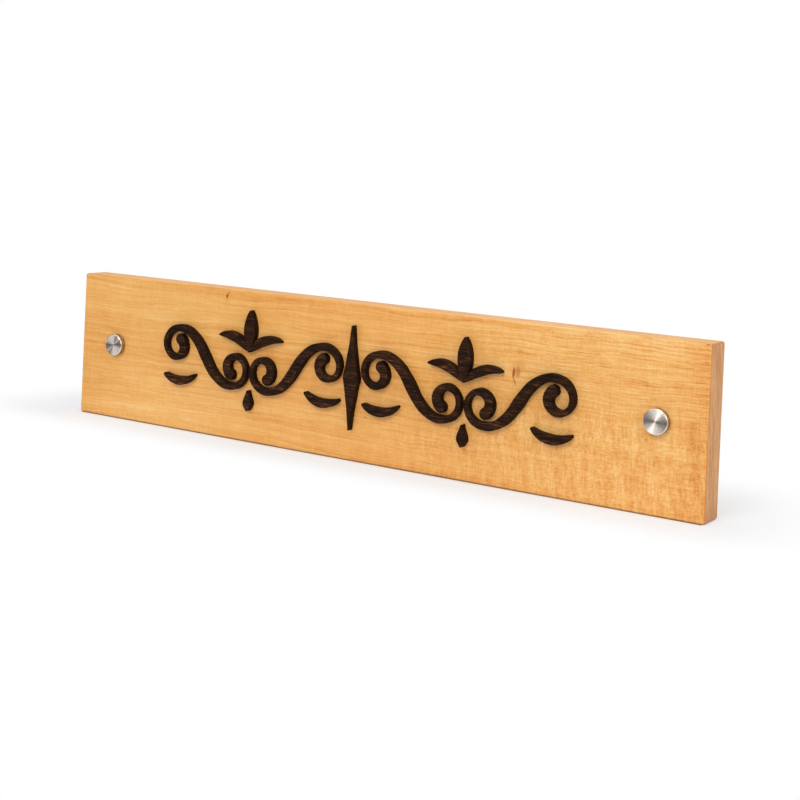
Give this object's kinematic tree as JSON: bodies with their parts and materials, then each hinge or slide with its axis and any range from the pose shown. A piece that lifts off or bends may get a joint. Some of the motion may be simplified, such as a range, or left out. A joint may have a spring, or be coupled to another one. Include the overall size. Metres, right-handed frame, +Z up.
{
  "type": "name plate",
  "caption": "Solid wood wall name plate with a raised dark wood scroll ornament, screwed on under round turned steel caps; it also stands on its long edge.",
  "frame": {"origin": "middle of the board's bottom edge face, halfway along the board and halfway through its thickness", "axes": "+X along the board to the reader's right, -Y out of the face towards the reader, +Z up"},
  "size_m": [0.475, 0.0413, 0.1],
  "materials": {
    "board_wood": "honey-coloured close-grained hardwood, sanded and sealed with a satin clear coat",
    "ornament_wood": "dark brown wenge with fine lighter streaks, sawn and left open-grained with a dull oil finish",
    "cap_steel": "stainless steel, face turned in fine rings, chamfer and side polished",
    "collar_brass": "turned brass with an outside thread",
    "screw_steel": "bright zinc-plated steel",
    "gasket_rubber": "dull black rubber"
  },
  "bodies": {
    "plate": {"board": "board_wood", "centre_lozenge": "ornament_wood", "left_inner_scroll": "ornament_wood", "left_outer_scroll": "ornament_wood", "left_palmette": "ornament_wood", "left_drop": "ornament_wood", "left_inner_leaf": "ornament_wood", "left_outer_leaf": "ornament_wood", "right_inner_scroll": "ornament_wood", "right_outer_scroll": "ornament_wood", "right_palmette": "ornament_wood", "right_drop": "ornament_wood", "right_inner_leaf": "ornament_wood", "right_outer_leaf": "ornament_wood"},
    "left_fixing": {"left_screw": "screw_steel", "left_collar": "collar_brass", "left_gasket": "gasket_rubber"},
    "left_cap": {"left_cap": "cap_steel"},
    "right_fixing": {"right_screw": "screw_steel", "right_collar": "collar_brass", "right_gasket": "gasket_rubber"},
    "right_cap": {"right_cap": "cap_steel"}
  },
  "joints": [
    {"name": "left_fixing_draw", "type": "slide", "parent": "plate", "child": "left_fixing", "axis": [0, -1, 0], "range_m": [0, 0.045]},
    {"name": "left_cap_off", "type": "slide", "parent": "left_fixing", "child": "left_cap", "axis": [0, -1, 0], "range_m": [0, 0.012]},
    {"name": "right_fixing_draw", "type": "slide", "parent": "plate", "child": "right_fixing", "axis": [0, -1, 0], "range_m": [0, 0.045]},
    {"name": "right_cap_off", "type": "slide", "parent": "right_fixing", "child": "right_cap", "axis": [0, -1, 0], "range_m": [0, 0.012]}
  ]
}
